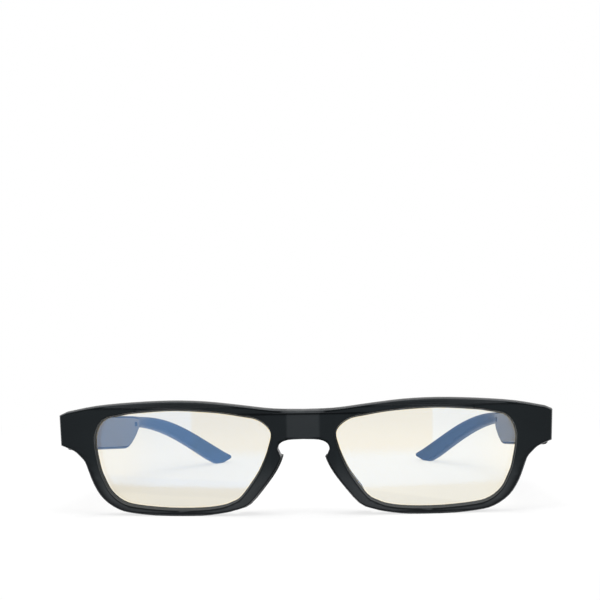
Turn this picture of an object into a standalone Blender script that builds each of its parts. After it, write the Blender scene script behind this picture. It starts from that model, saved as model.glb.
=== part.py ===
"""Full-rim glasses with pale cream lenses and thick, powered side arms.

The pair stands as it would on a table: the rims and the ends of both arms rest on
z = 0, the front faces -Y and X runs across the face. All sizes are in metres.
Geometry is written from the bridge's front face (y = 0) backwards, and one empty
moves the whole pair so that its box is centred on the origin.
"""

import math

import bmesh
import bpy
from mathutils import Matrix, Vector

# ---------------------------------------------------------------- general fit
GAP = 0.0003                # between pieces that seat on each other
RUNNING_GAP = 0.0001        # between the hinge screw and the knuckles it turns in
SIDES = {"right": 1, "left": -1}

# ---------------------------------------------------------------- front and lenses
LENS_OPENING_WIDTH = 0.0525
LENS_OPENING_HEIGHT = 0.02915
LENS_TO_LENS = 0.0189       # between the two openings, across the nose
RIM_BELOW = 0.0021          # rim seen from the front, under the lens
BROW_ABOVE = 0.00255        # rim seen from the front, over the lens
FRONT_WIDTH = 0.1452
FRONT_THICKNESS = 0.0050
BRIDGE_EXTRA = 0.0013       # how much thicker the bridge is than the rims
BRIDGE_REACH = 0.0150       # half width over which that thickness fades out
BASE_RADIUS = 0.380         # the front bows forward on this radius
EDGE_ROUND = 0.0007
BROW_RISE = 0.0029          # from the bridge's top to the brow's highest point
END_DROP = 0.0033           # from the brow's highest point to the end's top corner
END_HEIGHT = 0.0098
END_LEAN = 0.0003           # the end's foot stands this much further in
END_CORNER_WIDTH = 0.0020   # the end's top corner is cut off by this much
END_CORNER_DROP = 0.0009
BRIDGE_HEIGHT = 0.0084
NOTCH_HALF_WIDTH = 0.0065   # the points where the nose pads begin
NOTCH_BELOW_ARCH = 0.0055
KEYHOLE_WALL = 0.0027       # rim left between the keyhole's lobe and the lens
GROOVE_DEPTH = 0.0009
LENS_THICKNESS = 0.0020
LENS_SETBACK = 0.0016       # from the front face to the lens
STAND_FLAT = 0.00020        # taken off wherever the pair stands on the table

# The opening's outline as fractions of its width (0 at the nose) and height (0 at
# the bottom), from the outer side down, along the bottom, up the nose and back.
LENS_SHAPE = (
    (1.000, 0.717), (0.979, 0.432), (0.951, 0.289), (0.912, 0.163), (0.848, 0.070),
    (0.764, 0.028), (0.580, 0.000), (0.399, 0.003), (0.288, 0.027), (0.228, 0.063),
    (0.170, 0.126), (0.086, 0.329), (0.047, 0.458), (0.015, 0.608), (0.000, 0.777),
    (0.069, 0.897), (0.170, 0.940), (0.326, 0.980), (0.552, 1.000), (0.753, 0.977),
    (0.845, 0.953), (0.951, 0.897),
)
# The rim's width outside some of those points, from the outer side to the nose.
RIM_WIDTHS = {
    1: 0.0036, 2: 0.0034, 3: 0.0030, 4: 0.0025, 5: 0.0022, 6: RIM_BELOW,
    7: 0.0020, 8: 0.0020, 9: 0.0024, 10: 0.0032, 11: 0.0037, 12: 0.0042,
}
# The underside of the end, down to the rim: share of the way, then inwards and upwards.
END_SHOULDER = ((0.30, 0.0015, 0.0004), (0.62, 0.0008, 0.0010), (0.82, 0.0006, 0.0008))
# The brow's top edge: share of the half width, share of BROW_RISE.
BROW_SHAPE = (
    (0.00, 0.00), (0.12, 0.10), (0.26, 0.53), (0.40, 0.90), (0.54, 1.00), (0.70, 0.82),
    (0.85, 0.46),
)

# ---------------------------------------------------------------- nose pads
PAD_BACK = 0.0042           # how far a pad stands out behind the front
PAD_INSET = 0.0004
PAD_ROUND = 0.0009
PAD_SPLAY = 0.05            # sideways travel for each unit backwards
PAD_FROM_LENS = 0.0008      # the pads stay this much clear of the opening

# ---------------------------------------------------------------- hinge
HINGE_FROM_OUTSIDE = 0.0060     # from the end's outer face in to the hinge axis
KNUCKLE_RADIUS = 0.0025
KNUCKLE_HEIGHT = 0.0026
KNUCKLE_CLEARANCE = 0.0004      # between the knuckles and the front's back face
HINGE_DROP = 0.0023             # from the end's top corner to the highest knuckle
HINGE_PLATE_THICKNESS = 0.0012
HINGE_PLATE_HALF_WIDTH = 0.0026
HINGE_ANCHOR = 0.0012           # how much deeper the cast-in peg reaches
HINGE_ANCHOR_SHARE = 0.5        # the peg's size beside the plate's
NECK_HALF_WIDTH = 0.0014
NECK_LENGTH = 0.0024            # from the middle knuckle's edge into the leaf
END_PAD = 0.0004                # flat hinge seat, proud of the end's back
HINGE_SCREW_RADIUS = 0.0008
HINGE_SCREW_HEAD_RADIUS = 0.0014
HINGE_SCREW_HEAD_HEIGHT = 0.0008
DRIVER_SLOT_WIDTH = 0.0004
LEAF_THICKNESS = 0.0012
LEAF_HEIGHT = 0.0034
LEAF_LENGTH = 0.0130
LEAF_SCREW_RADIUS = 0.0006
LEAF_SCREW_HEAD_RADIUS = 0.0012
LEAF_SCREW_HEAD_HEIGHT = 0.0006
LEAF_SCREW_LENGTH = 0.0026
LEAF_SCREWS = {"front": 0.42, "rear": 0.82}     # share of the leaf's length

# ---------------------------------------------------------------- side arms
ARM_SET_IN = 0.0011         # the arm's outer face, in from the end's
ARM_BELOW_END = 0.0012      # the arm's top, under the end's top corner
ARM_LENGTH = 0.1265         # along the outer top edge
ARM_PITCH = math.radians(6.6)
ARM_TAPER = math.radians(5.0)
EAR_TURN = math.radians(44.0)
EAR_TURN_START = 0.052
EAR_TURN_END = 0.112
EAR_DROP_START = 0.076
EAR_DROP_END = 0.114
HOUSING_HEIGHT = 0.0106
HOUSING_THICKNESS = 0.0075
HOUSING_END = 0.046         # the underside starts to rise here
WAIST_START = 0.072         # and is at the slim stretch here
THIN_START = 0.058          # the inner face draws back to the slim stretch from here
THIN_END = 0.080
WAIST_HEIGHT = 0.0034
WAIST_THICKNESS = 0.0046
TIP_HEIGHT = 0.0062
TIP_THICKNESS = 0.0036
TIP_SLANT = 0.0078          # the end's lower corner lies this much further forward
TIP_END_HEIGHT = 0.0012
ARM_EDGE_ROUND = 0.0011
ARM_WALL = 0.0012
COVER_LIP = 0.0004
COVER_EDGE_ROUND = 0.0004
COVER_THICKNESS = 0.0013
COVER_START = 0.0062
COVER_END = 0.0660
CAVITY_START = 0.0190
CAVITY_END = 0.0630

# ---------------------------------------------------------------- inside the arms
BOARD_THICKNESS = 0.0008
BOARD_LENGTH = 0.0210
BATTERY_THICKNESS = 0.0031
BATTERY_LENGTH = 0.0192
BATTERY_ROUND = 0.0011
SPEAKER_LENGTH = 0.0080
SPEAKER_THICKNESS = 0.0032
SPEAKER_ROUND = 0.0016
INNER_PLAY = 0.0004         # round the pieces in the cavity
OUTLET_AT = 0.0590          # the sound outlet, along the arm
OUTLET_LENGTH = 0.0042
OUTLET_HEIGHT = 0.0014
OUTLET_BELOW_TOP = 0.0026
MESH_THICKNESS = 0.0003
MESH_BORDER = 0.0005

# ---------------------------------------------------------------- fineness
OUTLINE_STEPS = 3           # straight pieces between two outline points
ROUND_SEGMENTS = 24
CORNER_STEPS = 3            # straight pieces in a quarter round of an arm's section
ARM_STEP = 0.0035           # between sections along an arm

# ---------------------------------------------------------------- derived places
HALF_WIDTH = FRONT_WIDTH / 2
NASAL_X = LENS_TO_LENS / 2
OPENING_FLOOR = RIM_BELOW - STAND_FLAT
BROW_TOP = OPENING_FLOOR + LENS_OPENING_HEIGHT + BROW_ABOVE
BRIDGE_TOP = BROW_TOP - BROW_RISE
ARCH_Z = BRIDGE_TOP - BRIDGE_HEIGHT
END_TOP = BROW_TOP - END_DROP
END_FOOT = END_TOP - END_HEIGHT


def bow(x):
    """How far the front has curved back at this distance from the middle."""
    return x * x / (2 * BASE_RADIUS)


def front_thickness(x):
    """The front is thickest at the bridge and fades to the rims' thickness."""
    fade = max(0.0, 1 - abs(x) / BRIDGE_REACH)
    return FRONT_THICKNESS + BRIDGE_EXTRA * fade * fade * (3 - 2 * fade)


END_BACK_Y = bow(HALF_WIDTH) + FRONT_THICKNESS + END_PAD
HINGE_X = HALF_WIDTH - HINGE_FROM_OUTSIDE
HINGE_Y = END_BACK_Y + KNUCKLE_CLEARANCE + KNUCKLE_RADIUS
HINGE_TOP = END_TOP - HINGE_DROP
HINGE_PITCH = KNUCKLE_HEIGHT + GAP
HINGE_FOOT = HINGE_TOP - 2 * HINGE_PITCH - KNUCKLE_HEIGHT
HINGE_MIDDLE = (HINGE_TOP + HINGE_FOOT) / 2
ARM_FRONT = Vector((HALF_WIDTH - ARM_SET_IN, END_BACK_Y + GAP, END_TOP - ARM_BELOW_END))
COVER_BACK = HOUSING_THICKNESS - COVER_THICKNESS


# ================================================================ scene helpers
def clear_scene():
    for obj in list(bpy.data.objects):
        bpy.data.objects.remove(obj, do_unlink=True)


def collection(name):
    found = bpy.data.collections.new(name)
    bpy.context.scene.collection.children.link(found)
    return found


def material(name, colour, roughness, metallic=0.0, alpha=1.0):
    mat = bpy.data.materials.new(name)
    mat.use_nodes = True
    shader = mat.node_tree.nodes["Principled BSDF"]
    shader.inputs["Base Color"].default_value = (*colour, 1.0)
    shader.inputs["Roughness"].default_value = roughness
    shader.inputs["Metallic"].default_value = metallic
    shader.inputs["Alpha"].default_value = alpha
    return mat


def finish_mesh(mesh):
    """Weld, point the faces outwards and shade the round stretches smooth."""
    bm = bmesh.new()
    bm.from_mesh(mesh)
    bmesh.ops.remove_doubles(bm, verts=bm.verts, dist=0.000002)
    bmesh.ops.recalc_face_normals(bm, faces=bm.faces)
    bm.to_mesh(mesh)
    bm.free()
    mesh.shade_smooth()
    mesh.set_sharp_from_angle(angle=math.radians(35))


def add_piece(name, mesh, mat, parent):
    """A visible piece, in the pair's own collection and under its pivot."""
    obj = bpy.data.objects.new(name, mesh)
    mesh.name = name
    obj.data.materials.clear()
    obj.data.materials.append(mat)
    PIECES.objects.link(obj)
    obj.parent = parent
    obj.matrix_parent_inverse = Matrix.Translation(-parent.location)
    return obj


def add_cutter(name, mesh):
    obj = bpy.data.objects.new(name, mesh)
    CUTTERS.objects.link(obj)
    obj.parent = ORIGIN
    obj.matrix_parent_inverse = Matrix.Identity(4)
    obj.hide_render = True
    obj.display_type = "WIRE"
    return obj


def combine(obj, cutter, operation="DIFFERENCE"):
    """Cut or join; triangles first, because a cut's own many-sided faces aren't quite flat."""
    obj.modifiers.new("triangles", "TRIANGULATE")
    modifier = obj.modifiers.new(cutter.name, "BOOLEAN")
    modifier.operation = operation
    modifier.object = cutter
    modifier.solver = "EXACT"


def mirrored(mesh):
    """The same mesh on the other side of the face."""
    copy = mesh.copy()
    copy.transform(Matrix.Scale(-1, 4, (1, 0, 0)))
    copy.flip_normals()
    return copy


def on_side(mesh, side):
    return mesh if SIDES[side] > 0 else mirrored(mesh)


# ================================================================ shape helpers
def smooth_step(value, start, end):
    t = min(1.0, max(0.0, (value - start) / (end - start)))
    return t * t * (3 - 2 * t)


def smooth_run(points, steps, closed=False):
    """A Catmull-Rom curve through the points; a closed one doesn't repeat its start."""
    count = len(points)
    found = []
    for index in range(count if closed else count - 1):
        near = [points[(index + k) % count] for k in (-1, 0, 1, 2)]
        if not closed and index == 0:
            near[0] = 2 * near[1] - near[2]
        if not closed and index == count - 2:
            near[3] = 2 * near[2] - near[1]
        a, b, c, d = near
        for step in range(steps):
            t = step / steps
            found.append(0.5 * (2 * b + (c - a) * t + (2 * a - 5 * b + 4 * c - d) * t * t
                                + (3 * b - a - 3 * c + d) * t ** 3))
    if not closed:
        found.append(points[-1].copy())
    return found


def offset_loop(loop, distance):
    """The closed loop moved outwards by this distance; it runs clockwise."""
    moved = []
    for before, here, after in zip(loop[-1:] + loop[:-1], loop, loop[1:] + loop[:1]):
        along = (here - before).normalized() + (after - here).normalized()
        along.normalize()
        moved.append(here + distance * Vector((-along.y, along.x)))
    return moved


def box(low, high):
    """A box between two corners."""
    bm = bmesh.new()
    low, high = Vector(low), Vector(high)
    size = high - low
    bmesh.ops.create_cube(bm, size=1.0, matrix=Matrix.Translation((low + high) / 2)
                          @ Matrix.Diagonal((*size, 1.0)))
    return to_mesh(bm)


def to_mesh(bm, name="mesh"):
    mesh = bpy.data.meshes.new(name)
    bm.to_mesh(mesh)
    bm.free()
    finish_mesh(mesh)
    return mesh


def rounded(mesh, width, segments=2):
    """All sharp edges of a plain solid rounded by this width."""
    bm = bmesh.new()
    bm.from_mesh(mesh)
    edges = [e for e in bm.edges if e.calc_face_angle(0) > math.radians(30)]
    bmesh.ops.bevel(bm, geom=edges, offset=width, offset_type="OFFSET", segments=segments,
                    profile=0.5, affect="EDGES", clamp_overlap=True)
    return to_mesh(bm)


def cylinder(radius, start, end, segments=ROUND_SEGMENTS):
    """A round bar from one point to another."""
    start, end = Vector(start), Vector(end)
    axis = end - start
    bm = bmesh.new()
    turn = axis.to_track_quat("Z", "Y").to_matrix().to_4x4()
    bmesh.ops.create_cone(bm, cap_ends=True, segments=segments, radius1=radius, radius2=radius,
                          depth=axis.length, matrix=Matrix.Translation((start + end) / 2) @ turn)
    return to_mesh(bm)


def union_mesh(name, meshes):
    """One mesh from several that overlap, joined by Boolean unions."""
    objects = [add_cutter(f"{name}_part_{index}", mesh) for index, mesh in enumerate(meshes)]
    for other in objects[1:]:
        combine(objects[0], other, "UNION")
    mesh = evaluated_mesh(objects[0])
    for obj in objects:
        bpy.data.objects.remove(obj, do_unlink=True)
    return mesh


def evaluated_mesh(obj):
    bpy.context.view_layer.update()
    graph = bpy.context.evaluated_depsgraph_get()
    mesh = bpy.data.meshes.new_from_object(obj.evaluated_get(graph))
    finish_mesh(mesh)
    return mesh


def outline_plate(name, loops, y_front, y_back, edge_round):
    """Flat plate with rounded edges: loops in (x, z), the first outside, the rest holes.

    It is a filled 2D curve, extruded and bevelled, then turned upright to face -Y.
    """
    curve = bpy.data.curves.new(name, "CURVE")
    curve.dimensions = "2D"
    curve.fill_mode = "BOTH"
    curve.extrude = (y_back - y_front) / 2 - edge_round
    curve.bevel_depth = edge_round
    curve.bevel_resolution = 1
    curve.offset = -edge_round
    for loop in loops:
        spline = curve.splines.new("POLY")
        spline.points.add(len(loop) - 1)
        for point, place in zip(spline.points, loop):
            point.co = (place.x, place.y, 0, 1)
        spline.use_cyclic_u = True
    obj = bpy.data.objects.new(name, curve)
    CUTTERS.objects.link(obj)
    mesh = evaluated_mesh(obj)
    bpy.data.objects.remove(obj, do_unlink=True)
    mesh.transform(Matrix.Translation((0, (y_front + y_back) / 2, 0))
                   @ Matrix.Rotation(math.pi / 2, 4, "X"))
    return mesh


def follow_front(mesh, front_y=0.0, thicken=True):
    """Bend a flat plate to the front's bow, and thicken it towards the bridge."""
    for vertex in mesh.vertices:
        x, depth = vertex.co.x, vertex.co.y - front_y
        scale = front_thickness(x) / FRONT_THICKNESS if thicken else 1.0
        vertex.co.y = front_y + bow(x) + depth * scale
    mesh.update()
    return mesh


# ================================================================ front outlines
def lens_points():
    return [Vector((NASAL_X + u * LENS_OPENING_WIDTH, OPENING_FLOOR + v * LENS_OPENING_HEIGHT))
            for u, v in LENS_SHAPE]


def lens_loop(extra=0.0):
    """The right lens opening, or a loop that lies this much outside it."""
    return offset_loop(smooth_run(lens_points(), OUTLINE_STEPS, closed=True), extra)


def rim_points():
    """Points on the rim's outer edge, from the outer side down and up to the nose."""
    points = lens_points()
    found = []
    for index, width in RIM_WIDTHS.items():
        along = (points[index + 1] - points[index - 1]).normalized()
        found.append(points[index] + width * Vector((-along.y, along.x)))
    return found


def front_half():
    """The right half of the front's outer edge, from the bridge's top round to its arch."""
    brow = [Vector((share * HALF_WIDTH, BRIDGE_TOP + rise * BROW_RISE))
            for share, rise in BROW_SHAPE]
    end_top = Vector((HALF_WIDTH - END_CORNER_WIDTH, END_TOP))
    end_corner = Vector((HALF_WIDTH, END_TOP - END_CORNER_DROP))
    end_foot = Vector((HALF_WIDTH - END_LEAN, END_FOOT))
    rim = rim_points()
    shoulder = [end_foot.lerp(rim[0], share) + Vector((-inward, upward))
                for share, inward, upward in END_SHOULDER]
    notch = Vector((NOTCH_HALF_WIDTH, ARCH_Z - NOTCH_BELOW_ARCH))
    lobe_x = NASAL_X + LENS_SHAPE[13][0] * LENS_OPENING_WIDTH - KEYHOLE_WALL
    keyhole = [notch,
               Vector((lobe_x - 0.0004, ARCH_Z - 0.70 * NOTCH_BELOW_ARCH)),
               Vector((lobe_x, ARCH_Z - 0.50 * NOTCH_BELOW_ARCH)),
               Vector((lobe_x - 0.0007, ARCH_Z - 0.22 * NOTCH_BELOW_ARCH)),
               Vector((lobe_x - 0.0030, ARCH_Z - 0.04 * NOTCH_BELOW_ARCH)),
               Vector((0.0, ARCH_Z))]
    top = smooth_run(brow + [end_top], OUTLINE_STEPS)
    side = smooth_run([end_foot] + shoulder + rim + [notch], OUTLINE_STEPS)
    arch = smooth_run(keyhole, OUTLINE_STEPS)
    return top + [end_corner] + side + arch[1:]


def front_loop():
    right = front_half()
    left = [Vector((-p.x, p.y)) for p in right[1:-1]]
    return right + left[::-1]


def pad_loop():
    """The right nose pad seen from the front: the nose side of the rim."""
    rim = rim_points()[-4:]
    notch = Vector((NOTCH_HALF_WIDTH, ARCH_Z - NOTCH_BELOW_ARCH))
    nose_side = smooth_run(rim + [notch], OUTLINE_STEPS)
    lens = lens_points()
    lens_side = [lens[index] - Vector((PAD_FROM_LENS, 0)) for index in (13, 12, 11, 10)]
    lens_side = smooth_run(lens_side, OUTLINE_STEPS)
    return offset_loop(nose_side[1:] + lens_side[1:-1], PAD_INSET)


# ================================================================ the arms' course
def arm_course(ear_pitch):
    """Places and headings along the arm's outer top edge: (distance, place, heading)."""
    count = 120
    step = ARM_LENGTH / count
    place = ARM_FRONT.copy()
    found = []
    for index in range(count + 1):
        s = index * step
        heading = ARM_TAPER + (EAR_TURN - ARM_TAPER) * smooth_step(s, EAR_TURN_START, EAR_TURN_END)
        found.append((s, place.copy(), heading))
        middle = s + step / 2
        heading = ARM_TAPER + (EAR_TURN - ARM_TAPER) * smooth_step(
            middle, EAR_TURN_START, EAR_TURN_END)
        pitch = ARM_PITCH + (ear_pitch - ARM_PITCH) * smooth_step(
            middle, EAR_DROP_START, EAR_DROP_END)
        level = step * math.cos(pitch)
        place += Vector((-level * math.sin(heading), level * math.cos(heading),
                         -step * math.sin(pitch)))
    return found


def arm_height(s):
    slim = HOUSING_HEIGHT + (WAIST_HEIGHT - HOUSING_HEIGHT) * smooth_step(s, HOUSING_END, WAIST_START)
    slant_start = ARM_LENGTH - TIP_SLANT
    full = slim + (TIP_HEIGHT - WAIST_HEIGHT) * smooth_step(s, WAIST_START, slant_start)
    cut = max(0.0, (s - slant_start) / TIP_SLANT)
    return full + (TIP_END_HEIGHT - full) * cut * (0.35 + 0.65 * cut)


def arm_thickness(s):
    slim = HOUSING_THICKNESS + (WAIST_THICKNESS - HOUSING_THICKNESS) * smooth_step(
        s, THIN_START, THIN_END)
    return slim + (TIP_THICKNESS - WAIST_THICKNESS) * smooth_step(s, THIN_END, ARM_LENGTH)


def lowest_point(course):
    return min(place.z - arm_height(s) for s, place, _ in course)


def ear_pitch():
    """The slope of the ear piece that brings its end down to the table."""
    flat, steep = ARM_PITCH, math.radians(75)
    for _ in range(40):
        middle = (flat + steep) / 2
        if lowest_point(arm_course(middle)) > -STAND_FLAT:
            flat = middle
        else:
            steep = middle
    return steep


COURSE = arm_course(ear_pitch())


def arm_frame(s):
    """Place and heading on the outer top edge, this far along the arm."""
    step = ARM_LENGTH / (len(COURSE) - 1)
    index = min(len(COURSE) - 2, int(s / step))
    share = s / step - index
    here, there = COURSE[index], COURSE[index + 1]
    return here[1].lerp(there[1], share), here[2] + share * (there[2] - here[2])


def arm_point(s, inward, down):
    """A point this far along the arm, in from its outer face and down from its top."""
    place, heading = arm_frame(s)
    return place + Vector((-inward * math.cos(heading), -inward * math.sin(heading), -down))


def arm_sections(start, end, phase):
    """Where sections lie: few along the straight housing, many round the bends."""
    straight = min(end, HOUSING_END - phase)
    found = [start] if start >= straight else [start, straight]
    while found[-1] + 1.5 * ARM_STEP < end:
        found.append(found[-1] + ARM_STEP)
    if found[-1] < end:
        found.append(end)
    return found


def arm_loft(start, end, outer, inner, top, bottom, edge_round=0.0, phase=0.0):
    """A solid along the arm; outer, inner, top and bottom are functions of distance.

    A phase moves its sections off those of the solid that it cuts.
    """
    bm = bmesh.new()
    rings = []
    for s in arm_sections(start, end, phase):
        low_u, high_u, low_w, high_w = outer(s), inner(s), top(s), bottom(s)
        radius = min(edge_round, 0.42 * (high_u - low_u), 0.42 * (high_w - low_w))
        rings.append([bm.verts.new(arm_point(s, u, w))
                      for u, w in section_points(low_u, high_u, low_w, high_w, radius)])
    for ring, following in zip(rings, rings[1:]):
        for k in range(len(ring)):
            after = (k + 1) % len(ring)
            bm.faces.new((ring[k], ring[after], following[after], following[k]))
    bm.faces.new(rings[0][::-1])
    bm.faces.new(rings[-1])
    bmesh.ops.triangulate(bm, faces=bm.faces)
    return to_mesh(bm)


def section_points(low_u, high_u, low_w, high_w, radius):
    """A rectangle with round corners, as (inward, down) pairs."""
    if radius <= 0:
        return [(low_u, low_w), (high_u, low_w), (high_u, high_w), (low_u, high_w)]
    centres = ((high_u - radius, low_w + radius, -90), (high_u - radius, high_w - radius, 0),
               (low_u + radius, high_w - radius, 90), (low_u + radius, low_w + radius, 180))
    found = []
    for u, w, first in centres:
        for step in range(CORNER_STEPS + 1):
            angle = math.radians(first + 90 * step / CORNER_STEPS)
            found.append((u + radius * math.cos(angle), w + radius * math.sin(angle)))
    return found


def straight_matrix(s):
    """The arm's own axes on its straight stretch: X inwards, Y along, Z up."""
    place, _ = arm_frame(s)
    return (Matrix.Translation(place) @ Matrix.Rotation(ARM_TAPER, 4, "Z")
            @ Matrix.Rotation(-ARM_PITCH, 4, "X") @ Matrix.Scale(-1, 4, (1, 0, 0)))


def arm_box(start, end, outer, inner, top, bottom, edge_round=0.0):
    """A box in the straight housing, square to it, with rounded edges if asked."""
    mesh = box((outer, start - end, -bottom), (inner, 0.0, -top))
    if edge_round:
        mesh = rounded(mesh, edge_round)
    mesh.transform(straight_matrix(end))
    finish_mesh(mesh)
    return mesh


def fixed(value):
    return lambda s: value


# ================================================================ front
def make_front():
    body = follow_front(outline_plate("front", [front_loop(), lens_loop(),
                                                mirror_loop(lens_loop())],
                                      0.0, FRONT_THICKNESS, EDGE_ROUND))
    front = add_piece("front_frame", body, BLACK_GLOSS, ORIGIN)
    for name, side in SIDES.items():
        combine(front, add_cutter(f"end_seat_{name}", on_side(end_seat(), name)), "UNION")
        combine(front, add_cutter(f"nose_pad_{name}", on_side(nose_pad(), name)), "UNION")
        combine(front, add_cutter(f"lens_groove_{name}", on_side(lens_plate(GAP), name)))
        combine(front, add_cutter(f"hinge_seat_{name}", on_side(hinge_seat(), name)))
    combine(front, TABLE)
    return front


def mirror_loop(loop):
    return [Vector((-p.x, p.y)) for p in loop][::-1]


def end_seat():
    """The flat pad at the back of the end, which the hinge and the arm's end meet."""
    inner_x = HALF_WIDTH - 2 * HINGE_FROM_OUTSIDE + KNUCKLE_RADIUS
    low = (inner_x, END_BACK_Y - FRONT_THICKNESS / 2, END_FOOT + EDGE_ROUND)
    high = (HALF_WIDTH - END_LEAN - EDGE_ROUND, END_BACK_Y, END_TOP - EDGE_ROUND)
    return rounded(box(low, high), EDGE_ROUND / 2)


def nose_pad():
    """A pad moulded on the back of the rim, splayed out towards the cheeks."""
    start = FRONT_THICKNESS / 2
    mesh = outline_plate("pad", [pad_loop()], start, FRONT_THICKNESS + PAD_BACK, PAD_ROUND)
    for vertex in mesh.vertices:
        behind = max(0.0, vertex.co.y - FRONT_THICKNESS)
        vertex.co.x += PAD_SPLAY * behind
    return follow_front(mesh, thicken=False)


def lens_plate(clearance=0.0):
    """The lens, or the groove that holds it with this clearance."""
    depth = GROOVE_DEPTH - GAP + clearance
    front_y = LENS_SETBACK - clearance
    back_y = LENS_SETBACK + LENS_THICKNESS + clearance
    mesh = outline_plate("lens", [lens_loop(depth)], front_y, back_y, LENS_THICKNESS / 6)
    return follow_front(mesh, thicken=False)


def make_lens(side):
    add_piece(f"lens_{side}", on_side(lens_plate(), side), LENS_CREAM, ORIGIN)


# ================================================================ hinges
def knuckle_span(index):
    """Foot and top of a knuckle, counted from the highest."""
    top = HINGE_TOP - index * HINGE_PITCH
    return top - KNUCKLE_HEIGHT, top


def knuckle(index):
    foot, top = knuckle_span(index)
    return cylinder(KNUCKLE_RADIUS, (HINGE_X, HINGE_Y, foot), (HINGE_X, HINGE_Y, top))


def hinge_plate(clearance=0.0):
    """The front hinge's plate and cast-in peg, or the seat cut for them."""
    half, middle = HINGE_PLATE_HALF_WIDTH, HINGE_MIDDLE
    tall = (HINGE_TOP - HINGE_FOOT) / 2
    back = END_BACK_Y + (clearance if clearance else 0.0)
    plate = box((HINGE_X - half - clearance, END_BACK_Y - HINGE_PLATE_THICKNESS - clearance,
                 middle - tall - clearance),
                (HINGE_X + half + clearance, back, middle + tall + clearance))
    peg_deep = END_BACK_Y - HINGE_PLATE_THICKNESS - HINGE_ANCHOR - clearance
    peg_half, peg_tall = half * HINGE_ANCHOR_SHARE, tall * HINGE_ANCHOR_SHARE
    peg = box((HINGE_X - peg_half - clearance, peg_deep, middle - peg_tall - clearance),
              (HINGE_X + peg_half + clearance, END_BACK_Y - HINGE_PLATE_THICKNESS / 2,
               middle + peg_tall + clearance))
    return plate, peg


def hinge_seat():
    return union_mesh("hinge_seat", hinge_plate(GAP))


def screw_bore():
    extra = KNUCKLE_HEIGHT
    return cylinder(HINGE_SCREW_RADIUS + RUNNING_GAP, (HINGE_X, HINGE_Y, HINGE_FOOT - extra),
                    (HINGE_X, HINGE_Y, HINGE_TOP + extra))


def head_bore():
    floor = HINGE_TOP - HINGE_SCREW_HEAD_HEIGHT - GAP
    return cylinder(HINGE_SCREW_HEAD_RADIUS + GAP, (HINGE_X, HINGE_Y, floor),
                    (HINGE_X, HINGE_Y, HINGE_TOP + KNUCKLE_HEIGHT))


def make_front_hinge(side):
    """Plate, peg and the two outer knuckles, in one casting."""
    pieces = list(hinge_plate())
    for index in (0, 2):
        foot, top = knuckle_span(index)
        pieces.append(knuckle(index))
        pieces.append(box((HINGE_X - NECK_HALF_WIDTH, END_BACK_Y - HINGE_PLATE_THICKNESS / 2, foot),
                          (HINGE_X + NECK_HALF_WIDTH, HINGE_Y, top)))
    mesh = union_mesh("front_hinge", pieces)
    hinge = add_piece(f"front_hinge_{side}", on_side(mesh, side), STEEL_DARK, ORIGIN)
    combine(hinge, add_cutter(f"front_screw_bore_{side}", on_side(screw_bore(), side)))
    combine(hinge, add_cutter(f"screw_head_bore_{side}", on_side(head_bore(), side)))


def make_hinge_screw(side):
    """A slotted screw, through all three knuckles from the top."""
    head_foot = HINGE_TOP - HINGE_SCREW_HEAD_HEIGHT
    shank = cylinder(HINGE_SCREW_RADIUS, (HINGE_X, HINGE_Y, HINGE_FOOT),
                     (HINGE_X, HINGE_Y, HINGE_TOP - HINGE_SCREW_HEAD_HEIGHT / 2))
    head = cylinder(HINGE_SCREW_HEAD_RADIUS, (HINGE_X, HINGE_Y, head_foot),
                    (HINGE_X, HINGE_Y, HINGE_TOP))
    mesh = union_mesh("hinge_screw", (shank, head))
    screw = add_piece(f"hinge_screw_{side}", on_side(mesh, side), STEEL_BRIGHT, ORIGIN)
    half, reach = DRIVER_SLOT_WIDTH / 2, 2 * HINGE_SCREW_HEAD_RADIUS
    slot = box((HINGE_X - reach, HINGE_Y - half, HINGE_TOP - HINGE_SCREW_HEAD_HEIGHT / 2),
               (HINGE_X + reach, HINGE_Y + half, HINGE_TOP + HINGE_SCREW_HEAD_HEIGHT))
    combine(screw, add_cutter(f"hinge_screw_slot_{side}", on_side(slot, side)))


# The leaf lies in the arm's own axes, on the hinge axis and at the middle knuckle.
NECK_END_Y = HINGE_Y + KNUCKLE_RADIUS + NECK_LENGTH
LEAF_OUTER = COVER_BACK - GAP - LEAF_SCREW_HEAD_HEIGHT - LEAF_THICKNESS
LEAF_INNER = LEAF_OUTER + LEAF_THICKNESS
LEAF_TOP = ARM_FRONT.z - HINGE_MIDDLE - LEAF_HEIGHT / 2
LEAF_START = (HINGE_Y + KNUCKLE_RADIUS + 2 * KNUCKLE_CLEARANCE - ARM_FRONT.y
              + (LEAF_TOP + LEAF_HEIGHT) * math.sin(ARM_PITCH))
LEAF_END = LEAF_START + LEAF_LENGTH


def leaf_box(clearance=0.0, inner=LEAF_INNER):
    return arm_box(LEAF_START - clearance, LEAF_END + clearance,
                   LEAF_OUTER - clearance, inner, LEAF_TOP - clearance,
                   LEAF_TOP + LEAF_HEIGHT + clearance)


def leaf_screw_places():
    return {name: LEAF_START + share * LEAF_LENGTH for name, share in LEAF_SCREWS.items()}


def leaf_cylinder(radius, at, outer, inner):
    """A round bar across the arm, at the leaf's middle height."""
    frame = straight_matrix(at)
    down = -(LEAF_TOP + LEAF_HEIGHT / 2)
    return cylinder(radius, frame @ Vector((outer, 0, down)), frame @ Vector((inner, 0, down)),
                    ROUND_SEGMENTS // 2)


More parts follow.
